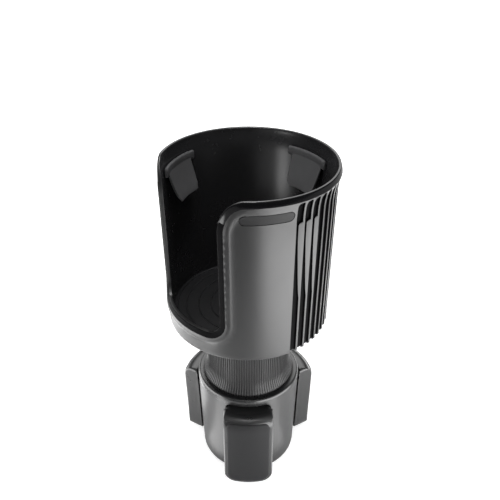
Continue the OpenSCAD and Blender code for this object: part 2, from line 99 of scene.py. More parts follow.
class Finish:
    """A material or world under construction: add() makes any node from its type, settings and inputs."""

    def __init__(self, name, kind="Material"):
        library = bpy.data.worlds if kind == "World" else bpy.data.materials
        self.kind, self.made = kind, library.new(name)
        self.made.use_nodes = True
        self.tree = self.made.node_tree
        self.tree.nodes.clear()

    def add(self, kind, settings=None, inputs=None, output=0):
        node = self.tree.nodes.new(kind)
        for key, value in (settings or {}).items():
            setattr(node, key, value)
        for key, value in (inputs or {}).items():
            if isinstance(value, Value):
                self.tree.links.new(value.socket, node.inputs[key])
            else:
                node.inputs[key].default_value = value
        return Value(self, node.outputs[output])

    def coordinates(self):
        return self.add("ShaderNodeTexCoord", {}, {}, "Object")

    def noise(self, scale, detail=2.0, rough=0.5):
        return self.add("ShaderNodeTexNoise", {}, {
            "Vector": self.coordinates(), "Scale": scale, "Detail": detail, "Roughness": rough}, "Fac")

    def blend(self, share, one, two):
        return self.add("ShaderNodeMix", {"data_type": "RGBA"}, {0: share, 6: one, 7: two}, 2)

    def bump(self, height, strength, depth, normal=None):
        inputs = {"Height": height, "Strength": strength, "Distance": depth}
        if normal:
            inputs["Normal"] = normal
        return self.add("ShaderNodeBump", {}, inputs)

    def surface(self, **sockets):
        inputs = {name.replace("_", " "): value for name, value in sockets.items()}
        return self.finish(self.add("ShaderNodeBsdfPrincipled", {}, inputs))

    def finish(self, shader):
        out = self.tree.nodes.new(f"ShaderNodeOutput{self.kind}")
        self.tree.links.new(shader.socket, out.inputs["Surface"])
        return self.made


def rgb(colour, factor=1.0):
    return (*[channel * factor for channel in colour[:3]], 1)


def moulded(name, colour, rough, grain=0.02, round_edge=0.0, specular=0.5):
    """Moulded plastic: fine spark-eroded grain, faint flow marks and handling marks in the gloss."""
    finish = Finish(name)
    flow = finish.noise(38, 3)
    fine = finish.noise(2600, 2)
    marks = finish.noise(210, 4, 0.6)
    tone = finish.blend((flow - 0.3).clamp() * 1.2, rgb(colour, 0.88), rgb(colour, 1.14))
    gloss = (marks - 0.5) * (0.24 * rough) + (flow - 0.5) * 0.06 + rough
    normal = finish.add("ShaderNodeBevel", {"samples": 6}, {"Radius": round_edge}) if round_edge else None
    return finish.surface(
        Base_Color=tone, Roughness=gloss.clamp(), Normal=finish.bump(fine, 0.5, grain * MM, normal),
        IOR=1.5, Specular_IOR_Level=specular)


def rubber(name, colour, rough=0.62):
    """Soft moulded rubber: dusty bloom, pores and a dull gloss."""
    finish = Finish(name)
    bloom = finish.noise(55, 4, 0.6)
    pores = finish.noise(3400, 2)
    tone = finish.blend((bloom - 0.25).clamp() * 1.1, rgb(colour, 0.85), rgb(colour, 1.25))
    gloss = (bloom - 0.5) * 0.2 + rough
    return finish.surface(
        Base_Color=tone, Roughness=gloss.clamp(), Normal=finish.bump(pores, 0.6, 0.03 * MM),
        IOR=1.45, Specular_IOR_Level=0.35)


def metal(name, colour, rough):
    """Plated or turned metal with fine tool marks round its axis."""
    finish = Finish(name)
    marks = finish.noise(900, 2)
    stain = finish.noise(120, 3)
    tone = finish.blend(stain.clamp(), rgb(colour, 0.8), rgb(colour, 1.05))
    return finish.surface(
        Base_Color=tone, Metallic=1.0, Roughness=((marks - 0.5) * 0.2 + rough).clamp(),
        Normal=finish.bump(marks, 0.3, 0.01 * MM))


# Settings
class HolderColours(bpy.types.PropertyGroup):
    """Colours of the finishes"""

    shell: FloatVectorProperty(
        name="Shell", description="Colour of the cup and base plastic", subtype="COLOR", size=3,
        default=(0.009, 0.0092, 0.0097), min=0, max=1)
    rubber: FloatVectorProperty(
        name="Rubber", description="Colour of the rubber pads", subtype="COLOR", size=3,
        default=(0.016, 0.016, 0.017), min=0, max=1)


class HolderSizes(bpy.types.PropertyGroup):
    """Sizes and counts of what repeats"""

    neck_ribs: IntProperty(
        name="Neck ribs", description="Number of fine ribs on the neck", default=112, min=12)
    rib_height: FloatProperty(
        name="Rib height", description="How far the neck's ribs stand out", default=0.00042,
        subtype="DISTANCE")
    pad_height: FloatProperty(
        name="Pad height", description="How far the pads stand out of the arms", default=0.0005,
        subtype="DISTANCE")
    mat_rings: IntProperty(
        name="Mat rings", description="Number of raised rings on the mat", default=5, min=1)
    mat_pitch: FloatProperty(
        name="Ring pitch", description="From one ring of the mat to the next", default=0.008,
        subtype="DISTANCE")


class HolderStage(bpy.types.PropertyGroup):
    """Camera and lights"""

    lens: FloatProperty(
        name="Lens", description="Focal length of the camera in millimetres", default=44.64, min=10)
    distance: FloatProperty(
        name="Distance", description="From the camera to the point it looks at", default=0.3925,
        subtype="DISTANCE")
    aim: FloatProperty(
        name="Aim", description="Height of the point that the camera looks at", default=0.1697,
        subtype="DISTANCE")
    turn: FloatProperty(
        name="Turn", description="Angle of the camera round the holder", default=math.radians(52),
        subtype="ANGLE")
    pitch: FloatProperty(
        name="Pitch", description="Angle that the camera looks down", default=math.radians(31.9),
        subtype="ANGLE")
    left: FloatProperty(
        name="Left box", description="Brightness of the soft box on the left", default=4.4, min=0)
    right: FloatProperty(
        name="Right box", description="Brightness of the soft box on the right", default=5.0, min=0)
    back: FloatProperty(
        name="Back box", description="Brightness of the soft box behind", default=2.2, min=0)
    front: FloatProperty(
        name="Front box", description="Brightness of the soft box high in front", default=3.0, min=0)
    mouth: FloatProperty(
        name="Mouth box", description="Brightness of the small box over the cup", default=26.0, min=0)
    cards: FloatProperty(
        name="Cards", description="Brightness of the cards on the floor", default=2.1, min=0)
    world: FloatProperty(
        name="Room", description="Brightness of the room around", default=0.34, min=0)


class HolderSettings(bpy.types.PropertyGroup):
    """Everything that a user of the holder may change"""

    sizes: PointerProperty(type=HolderSizes)
    colours: PointerProperty(type=HolderColours)
    stage: PointerProperty(type=HolderStage)


def settings():
    return bpy.context.scene.cup_holder


def dress(nodes, material):
    """Gives CAD nodes a finish in place of their plain one."""
    for name in nodes:
        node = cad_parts[name]
        node.data.materials.clear()
        node.data.materials.append(material)


def numbered(name, count=3):
    return [f"{name}_{i + 1}" for i in range(count)]


# Cup shell, in millimetres: heights count from its bottom edge, lengths run round the wall from the slot
CUP_Z, CUP_R, CUP_H = 123.6, 52.2, 108.0
TAPER, FLARE, FLARE_OUT, BAND = 0.9, 16.0, 1.7, 3.3
WALL, FLOOR, FOOT, EDGE = 2.8, 4.5, 1.5, 1.2
SILL, SIDE, CORNER, MOUTH, MOUTH_H = 17.4, 33.5, 9.0, 17.5, 21.0
PLUG_L, PLUG_H, PLUG_DROP, RECESS = 30.0, 6.1, 11.2, 1.2
TAB_ANGLES = (63, 180, 297)
DEG = math.pi / 180 * CUP_R
# The lip along the slot: where it starts, its run and height, and the hollow behind the band
LIP_FAR, LIP_RUN, LIP_OUT = 9.2, 3.6, 1.25
HOLLOW_FAR, HOLLOW_RUN, HOLLOW = 5.9, 2.3, 0.4
# Slots of the shell's finishes, the third being painted shade (a near-black finish with almost no gloss) for
# grooves, recesses and the band down the slot's sides, and the depth below the rim where the band turns from
# gloss to that painted shade
SATIN, GLOSS, PAINTED_SHADE, INSIDE = range(4)
GLOSS_DROP = 13.5
# The wall's edge: distance from the edge, share of the way through the wall, and lift
BORDER = 3.6
BAND_SECTION = (
    (BORDER, 0, 0), (3.45, 0, -0.01), (3.2, 0, -0.06), (2.4, 0, -0.25), (1.6, 0, -0.47), (0.9, 0, -0.66),
    (0.45, 0, -0.8), (0.2, 0, -0.92), (0.05, 0, -1.08), (0, 0, -1.28), (0, 0.5, -0.3), (0, 1, 0.7),
    (0.05, 1, 0.45), (0.2, 1, 0.24), (0.45, 1, 0.1), (0.8, 1, 0), (1.6, 1, 0), (BORDER, 1, 0))
GLOSS_ROWS, SATIN_ROWS = 8, 12
# Rows of points over the wall: along the lip, and heights through the ribs
LIP_ROWS = (4.1, 4.7, 5.4, 6.2, 7.1, 8.2)
LEVELS = (EDGE, *range(4, 85, 4), 86.5, 88.2, 89.4, 90, 90.5, 90.9, 91.1, 92.5, 94.5, 96.5,
          98.5, 100, 101.2, 102, 102.8, 103.3, 103.7, 104.05)
# Radius and height of the steps from the bottom edge into the hollow foot
FOOT_SECTION = (
    (48.2, 0), (48.1, 0.1), (48.1, FOOT), (38, FOOT), (24, FOOT), (10, FOOT), (0.001, FOOT))
QUARTER = [i * math.pi / 8 for i in range(5)]


def straight_radius(z):
    """Outer radius of the wall without its flare."""
    return CUP_R + TAPER * min(z / (CUP_H - FLARE), 1)


def wall_radius(z):
    """Outer radius of the wall with its flare."""
    up = min(max(z - (CUP_H - FLARE), 0) / (FLARE - BAND), 1)
    return straight_radius(z) + FLARE_OUT * up * up


def gap(points, x, y):
    """Distance from a place to the nearest of some points."""
    return float(np.min(np.hypot(points[:, 0] - x, points[:, 1] - y)))


def below_rim(outline):
    return outline[outline[:, 1] < CUP_H - 0.01]


def on_wall(s, z, radius):
    """Point in metres at a length round the wall, a height and a radius."""
    angle = s / CUP_R
    return Vector((math.sin(angle) * radius, -math.cos(angle) * radius, CUP_Z + z)) * MM


def slot_outline():
    """Edge of the wall as unrolled points: sill, side, mouth, rim, and back on the other side."""
    corner, side = CORNER, SIDE * DEG
    turn = [i * math.pi / 32 for i in range(17)]
    half = [(x, SILL) for x in np.linspace(0, side - corner, 14)[:-1]]
    half += [(side - corner * (1 - math.sin(t)), SILL + corner * (1 - math.cos(t))) for t in turn]
    half += [(side, z) for z in np.linspace(SILL + corner, CUP_H - MOUTH_H, 26)[1:-1]]
    mouth = [i * math.pi / 64 for i in range(33)]
    half += [(side + MOUTH * DEG * (1 - math.cos(t)), CUP_H - MOUTH_H * (1 - math.sin(t)))
             for t in mouth]
    start = (SIDE + MOUTH) * DEG
    half += [(s, CUP_H) for s in np.linspace(start, 180 * DEG, 88)[1:]]
    points = np.array(half)
    other = points[-2::-1].copy()
    other[:, 0] = 360 * DEG - other[:, 0]
    return np.vstack([points, other])


def inwards(points):
    """Unit directions from the edge into the wall."""
    step = np.empty_like(points)
    step[1:-1] = points[2:] - points[:-2]
    step[0] = step[-1] = (1, 0)
    step /= np.linalg.norm(step, axis=1)[:, None]
    return np.column_stack([step[:, 1], -step[:, 0]])


class Ribs:
    """Ribs and grooves on the cup's sides: a crisp groove, then a rib that swells into a leaf."""

    start, pitch, count, depth = 80.9, 6.0, 12, 1.4
    share, leaf_share, leaves = 0.21, 0.44, (1.0, 1.0, 0.8)
    leaf_low, leaf_run, leaf_curve, shoulder, shoulder_curve = 40, 38, 0.7, 89.4, 2.6
    bend, bend_r, bend_share, top, fade_run = 101.2, 2.6, 0.36, 103.7, 0.9

    def width(self, i, z):
        """Share of the pitch that a rib takes at a height."""
        leaf = self.leaves[i] if i < len(self.leaves) else 0.0
        rise = min(max((z - self.leaf_low) / self.leaf_run, 0), 1) ** self.leaf_curve
        drop = math.sqrt(max(0.0, 1 - max(z - self.shoulder, 0) ** 2 / self.shoulder_curve))
        return self.share + self.leaf_share * leaf * rise * drop

    def columns(self, i, z):
        """Angles and depths across a groove and its rib."""
        width = self.width(i, z)
        swell = (width - self.share) / self.leaf_share
        bent = min(max(z - self.bend, 0) / self.bend_r, 1)
        near = self.bend_share * (1 - math.sqrt(max(0.0, 1 - bent ** 2)))
        fade = min(max((self.top - z) / self.fade_run, 0), 1)
        rib = 1 - width
        deep, drop = self.depth * fade, (0.16 + 0.5 * swell) * fade
        places = [near, near + 0.03, rib - 0.05, rib, rib + width * 0.35, rib + width * 0.7]
        depths = [0.0 if i == 0 else 0.04, deep, deep, drop, drop * 0.5, drop * 0.15]
        return [(self.start + self.pitch * (i + place), depth) for place, depth in zip(places, depths)]

    def row(self, z):
        found = [pair for i in range(self.count) for pair in self.columns(i, z)][:-2]
        return found + [(self.start + self.pitch * (self.count - 0.3) + 0.5, 0.0)]


def pill(length, height, steps=10):
    """Outline of an oval, anticlockwise."""
    r, half = height / 2, (length - height) / 2
    arc = [math.pi * i / steps for i in range(steps + 1)]
    right = [(half + r * math.sin(t), -r * math.cos(t)) for t in arc]
    left = [(-half - r * math.sin(t), r * math.cos(t)) for t in arc]
    return right + left


class Sheet:
    """Triangles over the unrolled wall, through a rim row and given points."""

    def __init__(self, rim, low):
        self.points, self.edges, self.depth = [], [], []
        self.low, self.high = low, rim[0][1]
        far, top = rim[-1]
        self.line([*map(tuple, rim), *((far, z) for z in np.linspace(top, low, 5)[1:])])
        self.bottom = len(self.points) - 1

    def add(self, point, depth=0.0):
        self.points.append(point)
        self.depth.append(depth)
        return len(self.points) - 1

    def line(self, points, depth=0.0, closed=False):
        ids = [self.add(point, depth) for point in points]
        self.edges += list(zip(ids, ids[1:]))
        if closed:
            self.edges.append((ids[-1], ids[0]))

    def close(self, lows):
        """Bottom row from the far seam back to the near one, then up the near seam."""
        ids = [self.bottom] + [self.add((s, self.low), depth) for s, depth in lows[::-1]]
        ids += [self.add((0.0, z)) for z in np.linspace(self.low, self.high, 5)[:-1]] + [0]
        self.edges += list(zip(ids, ids[1:]))

    def triangles(self):
        points = [Vector(p) for p in self.points]
        coords, _, faces, source = delaunay_2d_cdt(points, self.edges, [], 1, 1e-4)[:4]
        return coords, faces, [self.depth[ids[0]] if ids else 0.0 for ids in source]


class Skin:
    """Collects rows and sheets of the shell into one bmesh."""

    def __init__(self):
        self.mesh = bmesh.new()

    def row(self, places):
        return [self.mesh.verts.new(place) for place in places]

    def strip(self, one, two, finish):
        for corners in zip(one, one[1:], two[1:], two):
            self.mesh.faces.new(corners).material_index = finish

    def strips(self, rows, finish):
        made = [self.row(row) for row in rows]
        for one, two in zip(made, made[1:]):
            self.strip(one, two, finish)


def lipped(outline):
    """Outer radius over the unrolled wall, with the lip that follows the slot."""
    slot = below_rim(outline)

    def radius(s, z):
        far = gap(slot, s, z)
        swell = min(max(LIP_FAR - far, 0) / LIP_RUN, 1)
        hollow = HOLLOW * (max(HOLLOW_FAR - far, 0) / HOLLOW_RUN) ** 2
        lip = (LIP_OUT * swell ** 2 * (3 - 2 * swell) - hollow) / FLARE_OUT
        base = straight_radius(z)
        rim = (wall_radius(z) - base) / FLARE_OUT
        return base + FLARE_OUT * (1 - (1 - lip) * (1 - rim))

    return radius


def cup_band(skin, outline, into, outer):
    """Edge of the wall along slot and rim: glossy band, with painted shade on it down the slot's sides,
    satin bevel and the turn to the inside.
    """
    rows = [[] for _ in BAND_SECTION]
    for (s, z), (ns, nz) in zip(outline, into):
        top = outer(s + ns * BORDER, z + nz * BORDER)
        for row, (d, inner, lift) in zip(rows, BAND_SECTION):
            radius = top * (1 - inner) + (wall_radius(z + nz * d) - WALL) * inner + lift
            row.append(on_wall(s + ns * d, z + nz * d, radius))
    made = [skin.row(row) for row in rows]
    for k, (one, two) in enumerate(zip(made, made[1:])):
        skin.strip(one, two, GLOSS if k < GLOSS_ROWS else SATIN if k < SATIN_ROWS else INSIDE)
    # Down the slot's sides the band gets painted shade: near-black with almost no gloss, in place of the
    # dark that it would mirror.
    for face in skin.mesh.faces:
        low = face.calc_center_median().z < (CUP_Z + CUP_H - GLOSS_DROP) * MM
        if face.material_index == GLOSS and low:
            face.material_index = PAINTED_SHADE


def cup_outside(skin, outline, into, outer):
    """Outer wall with its lip, ribs and recesses. Returns lengths and depths along its bottom edge."""
    ribs, slot = Ribs(), below_rim(outline)
    holes = [(angle * DEG, CUP_H - PLUG_DROP) for angle in TAB_ANGLES]
    plain = [*np.arange(2.5, 80.4, 2.5), *np.arange(154, 180, 2.6), 180.0]
    plain = sorted(plain + [360 - a for a in plain if a < 180])
    clear_s, clear_z = PLUG_L / 2 + 1.2, 4.2
    sheet = Sheet(outline + into * BORDER, EDGE)
    for d in LIP_ROWS:
        for point, n in list(zip(outline, into))[1:-1:2]:
            if point[1] < CUP_H - 0.01:
                sheet.add(tuple(point + n * d))
    for z in LEVELS[1:]:
        for s in [a * DEG for a in plain]:
            recess = any(abs(s - x) < clear_s and abs(z - y) < clear_z for x, y in holes)
            if not recess and gap(slot, s, z) > LIP_FAR:
                sheet.add((s, z))
    lows = []
    for mirror in (False, True):
        grid = [[((360 - a if mirror else a) * DEG, z, depth) for a, depth in ribs.row(z)] for z in LEVELS]
        ids = [[sheet.add((s, z), depth) for s, z, depth in row] for row in grid[1:]]
        for column in zip(*ids):
            sheet.edges += list(zip(column, column[1:]))
        lows += [(s, depth) for s, z, depth in grid[0]]
    lows += [(a * DEG, 0.0) for a in plain]
    sheet.close(sorted(lows))
    for x, y in holes:
        for grow, deep in ((0.1, 0.0), (0.02, RECESS)):
            loop = [(x + u, y + v) for u, v in spread(pill(PLUG_L + 2 * grow, PLUG_H + 2 * grow))]
            sheet.line(loop, deep, closed=True)
        for u in np.linspace(3 - PLUG_L / 2, PLUG_L / 2 - 3, 11):
            sheet.add((x + u, y), RECESS)
    coords, faces, depth = sheet.triangles()
    made = skin.row(on_wall(*c, outer(*c) - deep) for c, deep in zip(coords, depth))
    # Recesses, and the floors and steep sides of grooves, get painted shade, a near-black finish with almost
    # no gloss; the backs of ribs stay satin
    for face in faces:
        deep = [depth[i] for i in face]
        groove = max(deep) > 0.9 and (min(deep) > 0.12 or max(deep) == RECESS)
        dark = groove and max(coords[i][1] for i in face) < Ribs.top + 0.05
        skin.mesh.faces.new([made[i] for i in face]).material_index = PAINTED_SHADE if dark else SATIN
    return lows


def cup_foot(skin, lows, outer):
    """Rounded bottom edge, foot ring and underside."""
    lows = sorted(lows + [(0.0, 0.0), (360 * DEG, 0.0)])
    rows = [[on_wall(s, EDGE * (1 - math.sin(t)), outer(s, EDGE) - deep - EDGE * (1 - math.cos(t)))
             for s, deep in lows] for t in QUARTER]
    skin.strips(rows + [[on_wall(s, z, r) for s, deep in lows] for r, z in FOOT_SECTION], SATIN)


def cup_inside(skin, outline, into):
    """Smooth inner wall and floor, in the inside finish that is painted lighter than the outside, as painted
    light.
    """
    rim = outline + into * BORDER
    sheet = Sheet(rim, FLOOR + EDGE)
    angles = list(np.arange(4, 360, 4.0))
    for z in [*np.arange(10, 92, 7.0), 94, 96.5, 99, 101.5]:
        for a in angles:
            if gap(rim, a * DEG, z) > 2.5 and (SIDE + 3 < a < 357 - SIDE or z < SILL - 5):
                sheet.add((a * DEG, z))
    sheet.close([(a * DEG, 0.0) for a in angles])
    coords, faces, _ = sheet.triangles()
    made = skin.row(on_wall(*c, wall_radius(c[1]) - WALL) for c in coords)
    for face in faces:
        skin.mesh.faces.new([made[i] for i in reversed(face)]).material_index = INSIDE
    lows = [a * DEG for a in (0, *angles, 360)]
    radius = wall_radius(FLOOR + EDGE) - WALL
    rows = [[on_wall(s, FLOOR + EDGE * (1 - math.sin(t)), radius - EDGE * (1 - math.cos(t))) for s in lows]
            for t in QUARTER]
    skin.strips(rows + [[on_wall(s, FLOOR, r) for s in lows] for r in (36, 20, 0.001)], INSIDE)


def cup_shell():
    """Mesh of the cup: lipped and ribbed outside, plain inside, closed all round."""
    skin = Skin()
    outline = slot_outline()
    into, outer = inwards(outline), lipped(outline)
    cup_band(skin, outline, into, outer)
    cup_foot(skin, cup_outside(skin, outline, into, outer), outer)
    cup_inside(skin, outline, into)
    bmesh.ops.remove_doubles(skin.mesh, verts=skin.mesh.verts, dist=0.004 * MM)
    bmesh.ops.dissolve_degenerate(skin.mesh, edges=skin.mesh.edges, dist=0.001 * MM)
    bmesh.ops.recalc_face_normals(skin.mesh, faces=skin.mesh.faces)
    return skin.mesh


def piece(name, mesh, body, materials, stands_for=(), sharp=35):
    """Makes a bmesh a finished piece that rides on a body."""
    data = bpy.data.meshes.new(name)
    mesh.to_mesh(data)
    mesh.free()
    for polygon in data.polygons:
        polygon.use_smooth = True
    data.set_sharp_from_angle(angle=math.radians(sharp))
    for material in materials:
        data.materials.append(material)
    made = bpy.data.objects.new(name, data)
    bpy.context.scene.collection.objects.link(made)
    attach(made, body)
    if stands_for:
        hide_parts(*stands_for)
    return made


# Soft pieces
def rounded(half, low, high, low_r, high_r, steps=6):
    """Outline of a panel with rounded corners, anticlockwise."""
    points = []
    for x, y, r, start in (
            (half - low_r, low + low_r, low_r, -90), (half - high_r, high - high_r, high_r, 0),
            (high_r - half, high - high_r, high_r, 90), (low_r - half, low + low_r, low_r, 180)):
        for i in range(steps + 1):
            t = math.radians(start + 90 * i / steps)
            points.append((x + r * math.cos(t), y + r * math.sin(t)))
    return spread(points)


def spread(points, longest=2.2):
    """Adds points so that no step of a closed outline is too long."""
    full = []
    for (x0, y0), (x1, y1) in zip(points, points[1:] + points[:1]):
        n = max(1, math.ceil(math.hypot(x1 - x0, y1 - y0) / longest))
        full += [(x0 + (x1 - x0) * i / n, y0 + (y1 - y0) * i / n) for i in range(n)]
    return full


def bridge(mesh, one, two, finish=0):
    """Faces between two closed rings."""
    for corners in zip(one, one[1:] + one[:1], two[1:] + two[:1], two):
        mesh.faces.new(corners).material_index = finish


def cushion(mesh, outline, section, place, grid=2.4):
    """Closed pad: rings drawn in from an outline, then a filled face and a filled back."""
    outline = np.array(outline)
    step = np.roll(outline, -1, axis=0) - np.roll(outline, 1, axis=0)
    step /= np.linalg.norm(step, axis=1)[:, None]
    into = np.column_stack([-step[:, 1], step[:, 0]])
    rows = [[mesh.verts.new(place(x, y, h)) for x, y in outline + into * d] for d, h in section]
    for one, two in zip(rows, rows[1:]):
        bridge(mesh, one, two)
    for (d, h), row, back in ((section[-1], rows[-1], False), (section[0], rows[0], True)):
        ring = outline + into * d
        columns, lines = [np.arange(ring[:, k].min() + grid, ring[:, k].max(), grid) for k in (0, 1)]
        inner = [(x, y) for x in columns for y in lines
                 if gap(ring, x, y) > grid * 0.45 and inside(ring, x, y)]
        points = [Vector(p) for p in [*ring, *inner]]
        edges = [(i, (i + 1) % len(ring)) for i in range(len(ring))]
        coords, _, faces, source = delaunay_2d_cdt(points, edges, [], 1, 1e-4)[:4]
        made = [row[ids[0]] if ids and ids[0] < len(row) else mesh.verts.new(place(*c, h))
                for c, ids in zip(coords, source)]
        for face in faces:
            mesh.faces.new([made[i] for i in (reversed(face) if back else face)])


def inside(ring, x, y):
    """Whether a place lies inside a closed outline."""
    x0, y0 = ring[:, 0], ring[:, 1]
    x1, y1 = np.roll(x0, -1), np.roll(y0, -1)
    crossing = (y0 > y) != (y1 > y)
    with np.errstate(divide="ignore", invalid="ignore"):
        at = x0 + (y - y0) * (x1 - x0) / (y1 - y0)
    return bool(np.count_nonzero(crossing & (x < at)) % 2)


def around(angle, radius, z):
    """Point in metres at an angle in degrees from -Y towards +X, a radius and a height."""
    turn = math.radians(angle)
    return Vector((math.sin(turn) * radius, -math.cos(turn) * radius, z)) * MM


# Arms, in millimetres over the table: the first one's angle, then the block's height, crown, reach and width
ARMS = ("arm_a", "arm_b", "arm_c")
ARM_TURN, ARM_TOP, ARM_LOW = 52.0, 65.0, 4.0
CROWN, REACH, LEAN, FACE_W, BLOCK_BACK = 8.0, 47.6, 1.5, 33.6, 37.4
BLOCK_TOE, BLOCK_SHOULDER = 7.0, 2.2
# The pad's borders at the sides, below and above, and its corner radii
PAD_SIDE, PAD_LOW, PAD_TOP, PAD_TOE, PAD_SHOULDER = 2.3, 1.6, 3.4, 5.2, 4.0
# How far the block covers the solid arm, and its section: distance from the outline, share of the depth
COVER = 0.04
BLOCK_SECTION = (
    (0.5, 0), (0.12, 0.015), (0, 0.06), (0, 0.35), (0, 0.65), (0, 0.9), (0.07, 0.945), (0.3, 0.98),
    (0.62, 0.995), (1.1, 1))


def arm_face(z):
    """Radius of the arm's outer face at a height."""
    crown = ARM_TOP - CROWN
    if z <= crown:
        return REACH - LEAN + LEAN * (z - ARM_LOW) / (crown - ARM_LOW)
    return REACH - CROWN + math.sqrt(max(CROWN ** 2 - (z - crown) ** 2, 0))


def arm_pad(turn):
    """Rubber pad in the pocket of the arm that faces the given angle."""
    outline = rounded(FACE_W / 2 - PAD_SIDE, ARM_LOW + PAD_LOW, ARM_TOP - PAD_TOP, PAD_TOE, PAD_SHOULDER)

    def place(u, v, h):
        radius = arm_face(v) + h
        return around(turn + math.degrees(math.asin(u / radius)), radius, v)

    mesh = bmesh.new()
    high = settings().sizes.pad_height / MM
    section = [(0.25, -1.35), (0.02, -1.2), (0, -0.4), (0, 0), (0.08, high * 0.52), (0.3, high * 0.84),
               (0.7, high * 0.98), (1.6, high)]
    cushion(mesh, outline, section, place)
    return mesh


def sweep(mesh, section, stops, place, finish):
    """Closed body through copies of a section. Each stop is a place and a shrink towards the middle."""
    rows = [[mesh.verts.new(place(t, k, shrink)) for k in range(len(section))] for t, shrink in stops]
    for one, two in zip(rows, rows[1:]):
        bridge(mesh, one, two, finish)
    mesh.faces.new(rows[0]).material_index = finish
    mesh.faces.new(rows[-1][::-1]).material_index = finish


# Grip tabs, in millimetres and degrees: the bead's half width and radius, the flap's half width,
# half thickness, rounded corner, reach in and down, and the bow along it
BEAD_HALF, BEAD_R = 20, 1.1
FLAP_HALF, FLAP_T, FLAP_CORNER, FLAP_IN, FLAP_DOWN, FLAP_BOW = 16, 0.85, 3.2, 9, 18, 0.5
PLUG_SECTION = ((0, -1.15), (0, -0.5), (0.05, -0.28), (0.2, -0.16), (0.5, -0.1), (0.9, -0.1))
SOFT_ENDS = [(0.999, 0.08), (0.995, 0.5), (0.98, 0.8), (0.955, 0.95), (0.92, 1.0)]


def bead_section(wall, low, top):
    """Radius and height round the bead that holds the tab inside the wall."""
    arc = [math.pi * i / 8 for i in range(9)]
    return [(wall, low + 0.5), (wall, low + 2)] + [
        (wall - BEAD_R + BEAD_R * math.cos(t), top - BEAD_R + BEAD_R * math.sin(t)) for t in arc] + [
        (wall - 2.2, low + 1.2), (wall - 2.0, low + 0.5), (wall - 1.5, low), (wall - 0.5, low)]


def flap_section(root, tip):
    """Radius and height round the flap: its round tip, then up and down its bowed faces."""
    dx, dy = tip[0] - root[0], tip[1] - root[1]
    length = math.hypot(dx, dy)
    ux, uy = dx / length, dy / length
    points = []
    for t in [-math.pi / 2 + math.pi * i / 8 for i in range(9)]:
        points.append((tip[0] + FLAP_T * (ux * math.cos(t) - uy * math.sin(t)),
                       tip[1] + FLAP_T * (uy * math.cos(t) + ux * math.sin(t))))
    for side, shares in ((1, (0.8, 0.6, 0.4, 0.2, 0)), (-1, (0, 0.2, 0.4, 0.6, 0.8))):
        for far in shares:
            out = FLAP_T * side + FLAP_BOW * math.sin(math.pi * far)
            points.append((root[0] + dx * far - uy * out, root[1] + dy * far + ux * out))
    return points


def grip_tab(angle):
    """Rubber tab: oval plug outside, bead inside, and a flap that leans in; bead and flap wear the same
    rubber painted lighter, as painted light.
    """
    mesh = bmesh.new()
    height = CUP_H - PLUG_DROP
    outer = lipped(slot_outline())

    def plug(u, v, h):
        s, z = angle * DEG + u, height + v
        return on_wall(s, z, outer(s % (360 * DEG), z) + h)

    cushion(mesh, spread(pill(PLUG_L, PLUG_H)), PLUG_SECTION, plug)
    top, low = height + PLUG_H / 2, height - PLUG_H / 2
    wall = wall_radius(low) - WALL - 0.1
    root = (wall - 1.4, low + 1.5)
    tip = (wall - FLAP_IN + FLAP_T, low - FLAP_DOWN + FLAP_T)
    bead, flap = bead_section(wall, low, top), flap_section(root, tip)
    middle = np.mean(bead, axis=0)
    stops = [(t / 10, 1.0) for t in range(-9, 10)]
    stops = [(-t, shrink) for t, shrink in SOFT_ENDS] + stops + SOFT_ENDS[::-1]

    def shrunk(core, r, z, shrink, turn):
        radius, height = core[0] + (r - core[0]) * shrink, core[1] + (z - core[1]) * shrink
        return around(angle + turn, radius, CUP_Z + height)

    def on_bead(t, k, shrink):
        return shrunk(middle, *bead[k], shrink, t * BEAD_HALF)

    def on_flap(t, k, shrink):
        r, z = flap[k]
        down = min(max(0.0, (tip[1] + FLAP_CORNER - z) / FLAP_CORNER), 1)
        width = FLAP_HALF - FLAP_CORNER * (1 - math.sqrt(max(0.0, 1 - down ** 2)))
        near = (z - root[1]) / (tip[1] - root[1])
        return shrunk((root[0] + (tip[0] - root[0]) * near, z), r, z, shrink, t * width)

    # Bead and flap take the second finish: the plug's own rubber painted lighter, as painted light from
    # above.
    sweep(mesh, bead, stops, on_bead, 1)
    sweep(mesh, flap, stops, on_flap, 1)
    bmesh.ops.recalc_face_normals(mesh, faces=mesh.faces)
    return mesh


def arm_block(turn):
    """Outer part of an arm: square shoulders, a round crown, round toes and soft edges."""

    def place(u, v, k):
        radius = BLOCK_BACK + (arm_face(min(v, ARM_TOP)) + COVER - BLOCK_BACK) * k
        return around(turn + math.degrees(math.asin(u / radius)), radius, v)

    mesh = bmesh.new()
    outline = rounded(FACE_W / 2 + COVER, ARM_LOW - COVER, ARM_TOP + COVER, BLOCK_TOE, BLOCK_SHOULDER)
    cushion(mesh, outline, BLOCK_SECTION, place)
    return mesh


